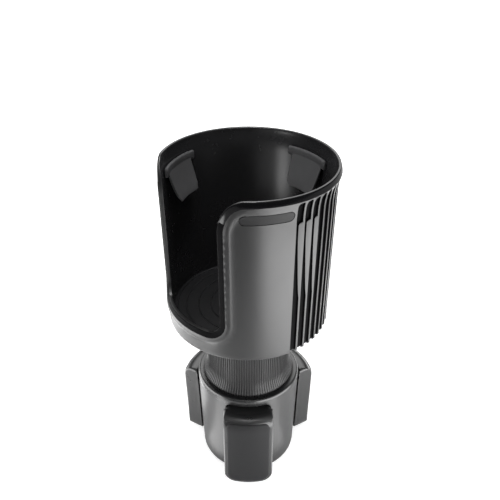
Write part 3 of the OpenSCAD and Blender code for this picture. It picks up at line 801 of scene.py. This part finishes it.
# Repeated pieces
class Tree:
    """A geometry tree under construction, with named inputs."""

    def __init__(self, name, **inputs):
        self.group = bpy.data.node_groups.new(name, "GeometryNodeTree")
        self.names = {}
        self.socket("Geometry", "Geometry")
        self.socket("Finish", "Material")
        for label, value in inputs.items():
            self.socket(label, "Int" if isinstance(value, int) else "Float", value)
        self.socket("Geometry", "Geometry", in_out="OUTPUT")
        self.input = self.group.nodes.new("NodeGroupInput")
        self.output = self.group.nodes.new("NodeGroupOutput")

    def socket(self, label, kind, value=None, in_out="INPUT"):
        socket = self.group.interface.new_socket(label, in_out=in_out, socket_type=f"NodeSocket{kind}")
        if kind != "Geometry":
            self.names[label] = (socket.identifier, value)

    def maths(self, operation, one, two):
        return self.add("ShaderNodeMath", {"operation": operation}, {0: one, 1: two}).outputs[0]

    def upright(self, value):
        return self.add("ShaderNodeCombineXYZ", {}, {"Z": value}).outputs[0]

    def add(self, kind, settings=None, inputs=None):
        node = self.group.nodes.new(kind)
        for key, value in (settings or {}).items():
            setattr(node, key, value)
        for key, value in (inputs or {}).items():
            if isinstance(value, bpy.types.NodeSocket):
                self.group.links.new(value, node.inputs[key])
            else:
                node.inputs[key].default_value = value
        return node

    def named(self, label):
        return self.input.outputs[label]

    def close(self, geometry):
        real = self.add("GeometryNodeRealizeInstances", {}, {"Geometry": geometry})
        done = self.add("GeometryNodeSetMaterial", {}, {
            "Geometry": real.outputs[0], "Material": self.named("Finish")})
        self.group.links.new(done.outputs[0], self.output.inputs[0])

    def grow(self, seed, material, **values):
        """Runs the tree on a seed mesh and returns the plain result as a bmesh."""
        data = bpy.data.meshes.new("seed")
        seed.to_mesh(data)
        seed.free()
        holder = bpy.data.objects.new("seed", data)
        bpy.context.scene.collection.objects.link(holder)
        modifier = holder.modifiers.new("grow", "NODES")
        modifier.node_group = self.group
        for label, (identifier, value) in self.names.items():
            modifier[identifier] = material if label == "Finish" else values.get(label, value)
        graph = bpy.context.evaluated_depsgraph_get()
        grown = bpy.data.meshes.new_from_object(holder.evaluated_get(graph), depsgraph=graph)
        mesh = bmesh.new()
        mesh.from_mesh(grown)
        bpy.data.objects.remove(holder)
        bpy.data.meshes.remove(data)
        return mesh


def ring_tree():
    """Copies of the seed in a ring: count, radius, height and first angle."""
    tree = Tree("ring_of_copies", Count=3, Radius=0.02, Height=0.0, First=0.0)
    count = tree.named("Count")
    circle = tree.add("GeometryNodeMeshCircle", {}, {"Vertices": count, "Radius": tree.named("Radius")})
    index = tree.add("GeometryNodeInputIndex").outputs[0]
    turn = tree.maths("MULTIPLY", tree.maths("DIVIDE", index, count), 2 * math.pi)
    copies = tree.add("GeometryNodeInstanceOnPoints", {}, {
        "Points": circle.outputs[0], "Instance": tree.named("Geometry"), "Rotation": tree.upright(turn)})
    placed = tree.add("GeometryNodeTransform", {}, {
        "Geometry": copies.outputs[0], "Translation": tree.upright(tree.named("Height")),
        "Rotation": tree.upright(tree.named("First"))})
    tree.close(placed.outputs[0])
    return tree


def bead_tree():
    """Concentric raised beads on the seed: their count, first radius, pitch, thickness and height."""
    tree = Tree("mat_beads", Count=5, First=0.009, Pitch=0.008, Bead=0.0006, Height=0.0)
    line = tree.add("GeometryNodeMeshLine", {}, {"Count": tree.named("Count"), "Offset": (0, 0, 0)})
    circle = tree.add("GeometryNodeCurvePrimitiveCircle", {}, {"Resolution": 96, "Radius": 1.0})
    index = tree.add("GeometryNodeInputIndex").outputs[0]
    radius = tree.maths("ADD", tree.maths("MULTIPLY", index, tree.named("Pitch")), tree.named("First"))
    copies = tree.add("GeometryNodeInstanceOnPoints", {}, {
        "Points": line.outputs[0], "Instance": circle.outputs[0], "Scale": radius})
    real = tree.add("GeometryNodeRealizeInstances", {}, {"Geometry": copies.outputs[0]})
    profile = tree.add("GeometryNodeCurvePrimitiveCircle", {}, {
        "Resolution": 10, "Radius": tree.named("Bead")})
    tubes = tree.add("GeometryNodeCurveToMesh", {}, {
        "Curve": real.outputs[0], "Profile Curve": profile.outputs[0]})
    placed = tree.add("GeometryNodeTransform", {}, {
        "Geometry": tubes.outputs[0], "Translation": tree.upright(tree.named("Height"))})
    both = tree.add("GeometryNodeJoinGeometry")
    tree.group.links.new(placed.outputs[0], both.inputs[0])
    tree.group.links.new(tree.named("Geometry"), both.inputs[0])
    tree.close(both.outputs[0])
    return tree


def lathe(profile, steps=48, ring=False):
    """Solid of revolution through (radius, height) points in millimetres, from pole to pole or as a ring."""
    mesh = bmesh.new()
    rows = []
    for r, z in profile:
        if r < 1e-6:
            rows.append([mesh.verts.new((0, 0, z * MM))])
        else:
            rows.append([mesh.verts.new(around(360 * i / steps, r, z)) for i in range(steps)])
    for one, two in zip(rows, rows[1:] + rows[:1] if ring else rows[1:]):
        for i in range(steps):
            a, b = one[i % len(one)], one[(i + 1) % len(one)]
            c, d = two[(i + 1) % len(two)], two[i % len(two)]
            mesh.faces.new([v for k, v in enumerate((a, b, c, d)) if v not in (a, b, c, d)[:k]])
    bmesh.ops.recalc_face_normals(mesh, faces=mesh.faces)
    return mesh


# Neck and rim, in millimetres over the table: the neck's ends and radii, the skirt that widens to the lip
NECK_LOW, NECK_TOP, NECK_R, NECK_IN, FLANGE_R = 66.3, 125.1, 28.2, 26.0, 29.9
SKIRT_R, SKIRT_TOP, LIP_Z = 31.1, 84.0, 72.6
RIB_HALF, RIB_SUNK = 0.34, 0.25
RIM_PROFILE = (
    (35.54, 67.7), (35.5, 69.5), (35.36, 71.0), (35.1, 71.9), (34.6, 72.45), (34.0, 72.64),
    (32.4, 72.66), (31.75, 72.5), (31.55, 72.0), (31.55, 67.7))


def neck_radius(z):
    """Outer radius of the neck between its ribs: a skirt that sweeps out to the base's rim."""
    near = min(max((SKIRT_TOP - z) / (SKIRT_TOP - LIP_Z - 1.6), 0), 1)
    return NECK_R + (SKIRT_R - NECK_R) * near ** 2


def neck_core():
    """Hollow neck with its skirt and the flange under the cup."""
    heights = [NECK_TOP - 6, *np.linspace(SKIRT_TOP, LIP_Z + 0.2, 9), LIP_Z - 3]
    flange = [(FLANGE_R - 0.3, NECK_TOP), (FLANGE_R, NECK_TOP - 0.3), (FLANGE_R, NECK_TOP - 1.8),
              (NECK_R, NECK_TOP - 5)]
    foot = [(NECK_R, LIP_Z - 5), (NECK_R, NECK_LOW)]
    bore = [(NECK_IN, NECK_LOW), (NECK_IN, NECK_TOP)]
    return lathe(bore + flange + [(neck_radius(z), z) for z in heights] + foot, 120, True)


def neck_rib():
    """One fine upright rib, from the lip to the flange, about its own foot point."""
    mesh = bmesh.new()
    high = settings().sizes.rib_height / MM
    rows = []
    for z in [LIP_Z - 1.5, *np.linspace(LIP_Z, SKIRT_TOP, 9), NECK_TOP - 6.5]:
        base = neck_radius(z) - NECK_R
        wide = RIB_HALF * (1 + base / NECK_R)
        half = [(-RIB_SUNK, wide), (0.05, wide), (high * 0.75, wide * 0.6)]
        ring = [(x, -y) for x, y in half] + [(high, 0)] + half[::-1]
        rows.append([mesh.verts.new(((base + x) * MM, y * MM, z * MM)) for x, y in ring])
    for one, two in zip(rows, rows[1:]):
        bridge(mesh, one, two)
    mesh.faces.new(rows[0][::-1])
    mesh.faces.new(rows[-1])
    bmesh.ops.recalc_face_normals(mesh, faces=mesh.faces)
    return mesh


MAT_R, MAT_H = 46.6, 1.1
# Screws, in millimetres and degrees: body, length, radius of their ring, first angle, and head downwards
SCREWS = {
    "cup_screws": ("cup", 12, 21.4, 0.0, False),
    "disc_screws": ("cup", 9, 19.0, 27.0, True),
    "deck_screws": ("base", 17.6, 25.0, 112.0, True),
}
HEAD_R, SHANK_R, CONE, SCREW_STEPS = 2.88, 1.48, 1.4, 24
# The cross recess: reach of its arms, their half width, the corner between them, depth and taper
CROSS, CROSS_HALF, CROSS_IN, CROSS_DEEP, CROSS_TAPER = 1.9, 0.34, 0.42, 1.0, 0.7


def screw_seed(length, flip):
    """Countersunk screw with a cross recess, its top face at z = 0."""
    cross = []
    for turn in [quarter * math.pi / 2 for quarter in range(4)]:
        c, s = math.cos(turn), math.sin(turn)
        for x, y in ((CROSS, -CROSS_HALF), (CROSS, CROSS_HALF), (CROSS_IN, CROSS_IN)):
            cross.append((x * c - y * s, x * s + y * c))
    mesh = bmesh.new()
    sections = [(HEAD_R - 0.12, 0), (HEAD_R, -0.12), (HEAD_R - 0.02, -0.25), (SHANK_R, -CONE),
                (SHANK_R, 0.6 - length), (SHANK_R - 0.5, -length)]
    rows = [[mesh.verts.new(around(360 * i / SCREW_STEPS, r, z)) for i in range(SCREW_STEPS)]
            for r, z in sections]
    for one, two in zip(rows, rows[1:]):
        bridge(mesh, one, two)
    mesh.faces.new(rows[-1])
    edge = [mesh.verts.new((x * MM, y * MM, 0)) for x, y in cross]
    deep = [mesh.verts.new(Vector((x * CROSS_TAPER, y * CROSS_TAPER, -CROSS_DEEP)) * MM) for x, y in cross]
    top = rows[0] + edge
    edges = [(i, (i + 1) % SCREW_STEPS) for i in range(SCREW_STEPS)]
    edges += [(SCREW_STEPS + i, SCREW_STEPS + (i + 1) % len(cross)) for i in range(len(cross))]
    coords, _, faces, source = delaunay_2d_cdt([v.co.xy / MM for v in top], edges, [], 1, 1e-5)[:4]
    for face in faces:
        centre = sum((coords[i] for i in face), Vector((0, 0))) / 3
        at_rim = any(source[i][0] < SCREW_STEPS for i in face)
        if at_rim or not inside(np.array(cross), *centre):
            mesh.faces.new([top[source[i][0]] for i in face])
    bridge(mesh, edge, deep)
    mesh.faces.new(deep)
    bmesh.ops.recalc_face_normals(mesh, faces=mesh.faces)
    if flip:
        bmesh.ops.rotate(mesh, verts=mesh.verts, matrix=Matrix.Rotation(math.pi, 3, "X"))
    return mesh


# Pieces
class OBJECT_OT_holder_cup(bpy.types.Operator):
    """Make the cup's shell with its lipped slot, glossy band and ribs"""

    bl_idname = "cupholder.cup"
    bl_label = "Cup shell"

    def execute(self, context):
        shell = tuple(settings().colours.shell)
        finishes = [
            moulded("cup_plastic", shell, 0.375, specular=0.75),
            moulded("band_gloss", (0.006, 0.006, 0.007), 0.12, grain=0.0),
            # Painted shade for grooves, recesses and the band down the slot's sides: the shell plastic made
            # near-black with almost no gloss
            moulded("groove_painted_shade", (0.003, 0.003, 0.0035), 0.6, specular=0.04),
            # The inside is the shell's plastic painted lighter than the outside: painted light inside the
            # cup.
            moulded("cup_inside", (0.018, 0.018, 0.019), 0.26, grain=0.004),
        ]
        piece("cup_shell", cup_shell(), "cup", finishes, ["cup_body"])
        return {"FINISHED"}


class OBJECT_OT_holder_finishes(bpy.types.Operator):
    """Give every carried-over CAD node its own finish"""

    bl_idname = "cupholder.finishes"
    bl_label = "Finishes"

    def execute(self, context):
        colours = settings().colours
        shell = tuple(colours.shell)
        dress(["base_shell"], moulded("base_plastic", shell, 0.4, round_edge=0.0004, specular=0.9))
        dress(numbered("arm"), moulded("arm_plastic", shell, 0.4, round_edge=0.0006, specular=0.9))
        dress(["guide_deck"], moulded("deck_plastic", (0.04, 0.04, 0.042), 0.45))
        dress(["spiral_disc"], moulded("disc_plastic", (0.6, 0.6, 0.56), 0.35))
        dress(["pivot_bolt", "pivot_nut", "pivot_washer"], metal("bolt_steel", (0.55, 0.55, 0.56), 0.35))
        dress(numbered("follower_pin"), metal("pin_steel", (0.6, 0.6, 0.61), 0.25))
        dress(["pivot_sleeve"], metal("sleeve_brass", (0.72, 0.55, 0.25), 0.3))
        return {"FINISHED"}


class OBJECT_OT_holder_tabs(bpy.types.Operator):
    """Make the three rubber grip tabs"""

    bl_idname = "cupholder.tabs"
    bl_label = "Grip tabs"

    def execute(self, context):
        # The second finish is the tab's rubber painted lighter: painted light on the bead and flap inside
        # the cup.
        finishes = [rubber("tab_rubber", (0.02, 0.02, 0.021), 0.5),
                    rubber("inner_rubber_painted_light", (0.07, 0.07, 0.072), 0.6)]
        for i, angle in enumerate(TAB_ANGLES):
            piece(f"tab_{i + 1}", grip_tab(angle), "cup", finishes, [f"grip_tab_{i + 1}"])
        return {"FINISHED"}


class OBJECT_OT_holder_pads(bpy.types.Operator):
    """Make the rubber pads on the three arms"""

    bl_idname = "cupholder.pads"
    bl_label = "Arm pads"

    def execute(self, context):
        finish = rubber("pad_rubber", tuple(settings().colours.rubber))
        for i, body in enumerate(ARMS):
            mesh = arm_pad(ARM_TURN + 120 * i)
            piece(f"pad_{i + 1}", mesh, body, [finish], [f"arm_pad_{i + 1}"])
        return {"FINISHED"}


class OBJECT_OT_holder_arms(bpy.types.Operator):
    """Make the outer parts of the three arms"""

    bl_idname = "cupholder.arms"
    bl_label = "Arms"

    def execute(self, context):
        finish = moulded("arm_block_plastic", tuple(settings().colours.shell), 0.29, specular=0.9)
        for i, body in enumerate(ARMS):
            piece(f"arm_block_{i + 1}", arm_block(ARM_TURN + 120 * i), body, [finish])
        return {"FINISHED"}


class OBJECT_OT_holder_rim(bpy.types.Operator):
    """Make the crisp rim of the base"""

    bl_idname = "cupholder.rim"
    bl_label = "Base rim"

    def execute(self, context):
        finish = moulded("rim_plastic", tuple(settings().colours.shell), 0.28, specular=0.9)
        piece("base_rim", lathe(RIM_PROFILE, 160, True), "base", [finish])
        return {"FINISHED"}


class OBJECT_OT_holder_neck(bpy.types.Operator):
    """Make the neck with its ring of fine ribs"""

    bl_idname = "cupholder.neck"
    bl_label = "Ribbed neck"

    def execute(self, context):
        finish = moulded("neck_plastic", (0.006, 0.006, 0.0065), 0.38, specular=0.5)
        ribs = ring_tree().grow(neck_rib(), finish, Count=settings().sizes.neck_ribs, Radius=NECK_R * MM)
        whole = neck_core()
        data = bpy.data.meshes.new("ribs")
        ribs.to_mesh(data)
        ribs.free()
        whole.from_mesh(data)
        bpy.data.meshes.remove(data)
        for face in whole.faces:
            face.material_index = 0
        piece("ribbed_neck", whole, "cup", [finish], ["twist_neck"])
        return {"FINISHED"}


class OBJECT_OT_holder_mat(bpy.types.Operator):
    """Make the mat on the cup's floor with its raised beads"""

    bl_idname = "cupholder.mat"
    bl_label = "Cup mat"

    def execute(self, context):
        finish = rubber("mat_rubber", (0.012, 0.012, 0.013))
        low = CUP_Z + FLOOR + 0.05
        top = low + MAT_H
        disc = lathe([(0, low), (MAT_R - 0.4, low), (MAT_R, low + 0.3), (MAT_R - 0.2, top - 0.2),
                      (MAT_R - 0.8, top), (0, top)], 96)
        sizes = settings().sizes
        mesh = bead_tree().grow(disc, finish, Height=top * MM, Count=sizes.mat_rings, Pitch=sizes.mat_pitch)
        piece("mat", mesh, "cup", [finish], ["cup_mat"])
        return {"FINISHED"}


class OBJECT_OT_holder_screws(bpy.types.Operator):
    """Make the rings of countersunk screws"""

    bl_idname = "cupholder.screws"
    bl_label = "Screws"

    def execute(self, context):
        finish = metal("screw_steel", (0.55, 0.55, 0.56), 0.35)
        tree = ring_tree()
        for name, (body, length, radius, first, flip) in SCREWS.items():
            low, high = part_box(name)
            mesh = tree.grow(screw_seed(length, flip), finish, Radius=radius * MM,
                             Height=low[2] if flip else high[2], First=math.radians(first - 90))
            piece(f"{name}_made", mesh, body, [finish], [name])
        return {"FINISHED"}


WHITE = (1, 1, 1, 1)
FLOOR_HALF, FLOOR_DROP = 4.0, 0.0002


class OBJECT_OT_holder_stage(bpy.types.Operator):
    """Add the floor, the soft lights and the camera at the photograph's angle"""

    bl_idname = "cupholder.stage"
    bl_label = "Stage"

    def floor(self):
        """Pale paper that is white to the camera, and less so near the foot, where the shadow falls."""
        mesh = bpy.data.meshes.new("floor")
        signs = ((-1, -1), (1, -1), (1, 1), (-1, 1))
        corners = [(x * FLOOR_HALF, y * FLOOR_HALF, -FLOOR_DROP) for x, y in signs]
        mesh.from_pydata(corners, [], [(0, 1, 2, 3)])
        floor = bpy.data.objects.new("floor", mesh)
        bpy.context.scene.collection.objects.link(floor)
        finish = Finish("floor_paper")
        path = finish.add("ShaderNodeLightPath")
        mirrored = path.other("Is Glossy Ray") + path.other("Is Transmission Ray")
        length = {"operation": "LENGTH"}
        away = finish.add("ShaderNodeVectorMath", length, {0: finish.coordinates()}, "Value")
        paper = finish.add("ShaderNodeBsdfDiffuse", {}, {"Color": rgb((0.8, 0.8, 0.8))})
        far = ((away - 0.16) * 5).clamp()
        strength = path.other("Is Camera Ray") * (far * 0.5 + 0.5) + mirrored * 0.06
        glow = finish.add("ShaderNodeEmission", {}, {"Color": WHITE, "Strength": strength})
        mesh.materials.append(finish.finish(finish.add("ShaderNodeAddShader", {}, {0: paper, 1: glow})))

    def world(self):
        """Room that is white to the camera and lights the holder softly, more from above."""
        sky = Finish("studio", "World")
        path = sky.add("ShaderNodeLightPath")
        place = sky.add("ShaderNodeTexCoord", {}, {}, "Generated")
        height = sky.add("ShaderNodeSeparateXYZ", {}, {0: place}, "Z")
        glow = sky.add("ShaderNodeMapRange", {}, {
            0: height, 1: 0.1, 2: 0.7, 3: 0.04, 4: settings().stage.world})
        room = sky.add("ShaderNodeBackground", {}, {"Color": WHITE, "Strength": glow})
        white = sky.add("ShaderNodeBackground", {}, {"Color": WHITE, "Strength": 1.0})
        both = sky.add("ShaderNodeMixShader", {}, {0: path.other("Is Camera Ray"), 1: room, 2: white})
        bpy.context.scene.world = sky.finish(both)

    def lamp(self, name, glow, size, turn, height, far, tilt):
        """Soft box that faces the axis, at an angle from the camera's side, and tilts down."""
        light = bpy.data.lights.new(name, "AREA")
        light.shape = "RECTANGLE"
        light.size, light.size_y = size
        light.energy = glow * math.pi * size[0] * size[1]
        lamp = bpy.data.objects.new(name, light)
        angle = settings().stage.turn + math.radians(turn)
        lamp.location = (math.sin(angle) * far, -math.cos(angle) * far, height)
        lamp.rotation_euler = (math.radians(90 - tilt), 0, angle)
        lamp.visible_camera = False
        bpy.context.scene.collection.objects.link(lamp)

    def camera(self, stage):
        view = bpy.data.cameras.new("camera")
        view.lens, view.sensor_width = stage.lens, 36
        view.clip_start = 0.01
        view.shift_x = 0.0034
        camera = bpy.data.objects.new("camera", view)
        away = Vector((math.sin(stage.turn) * math.cos(stage.pitch),
                       -math.cos(stage.turn) * math.cos(stage.pitch), math.sin(stage.pitch)))
        camera.rotation_mode = "QUATERNION"
        camera.rotation_quaternion = (-away).to_track_quat("-Z", "Y")
        camera.location = Vector((0, 0, stage.aim)) + away * stage.distance
        bpy.context.scene.collection.objects.link(camera)
        bpy.context.scene.camera = camera

    def execute(self, context):
        stage = settings().stage
        self.floor()
        self.world()
        # Name, brightness, size, angle, height, distance and tilt; a card lies on the floor and faces up
        for lamp in (
                ("left_box", stage.left, (0.32, 0.15), -86, 0.077, 0.2, 0),
                ("right_box", stage.right, (0.3, 0.15), 52, 0.077, 0.2, 0),
                ("back_box", stage.back, (1.0, 0.5), 180, 0.72, 0.8, 38),
                ("front_box", stage.front, (0.36, 0.16), 0, 0.86, 0.46, 58),
                ("mouth_box", stage.mouth, (0.07, 0.07), 0, 0.44, 0.0, 90),
                ("left_card", stage.cards, (0.04, 0.13), -52, 0.001, 0.105, -90),
                ("right_card", stage.cards * 0.75, (0.034, 0.12), 47, 0.001, 0.105, -90),
                ("edge_card", stage.cards, (0.09, 0.12), -128, 0.001, 0.12, -90),
                ("back_card", stage.cards * 1.7, (0.22, 0.26), 136, 0.001, 0.31, -90)):
            self.lamp(*lamp)
        self.camera(stage)
        bpy.context.scene.view_settings.view_transform = "Standard"
        return {"FINISHED"}


class VIEW3D_PT_holder(bpy.types.Panel):
    """Lists the holder's settings and operators"""

    bl_label = "Cup holder"
    bl_space_type = "VIEW_3D"
    bl_region_type = "UI"
    bl_category = "Cup holder"

    def draw(self, context):
        holder = context.scene.cup_holder
        for group in (holder.sizes, holder.colours, holder.stage):
            box = self.layout.box()
            for name in group.__annotations__:
                box.prop(group, name)
        for operator in OPERATORS:
            self.layout.operator(operator.bl_idname)


OPERATORS = (
    OBJECT_OT_holder_finishes, OBJECT_OT_holder_cup, OBJECT_OT_holder_tabs, OBJECT_OT_holder_pads,
    OBJECT_OT_holder_arms, OBJECT_OT_holder_rim, OBJECT_OT_holder_neck, OBJECT_OT_holder_mat,
    OBJECT_OT_holder_screws, OBJECT_OT_holder_stage)
CLASSES = (HolderSizes, HolderColours, HolderStage, HolderSettings, *OPERATORS, VIEW3D_PT_holder)


def register():
    for cls in CLASSES:
        bpy.utils.register_class(cls)
    bpy.types.Scene.cup_holder = PointerProperty(type=HolderSettings)


def unregister():
    del bpy.types.Scene.cup_holder
    for cls in reversed(CLASSES):
        bpy.utils.unregister_class(cls)


def main():
    register()
    for operator in OPERATORS:
        group, name = operator.bl_idname.split(".")
        getattr(getattr(bpy.ops, group), name)()


if __name__ == "__main__":
    main()
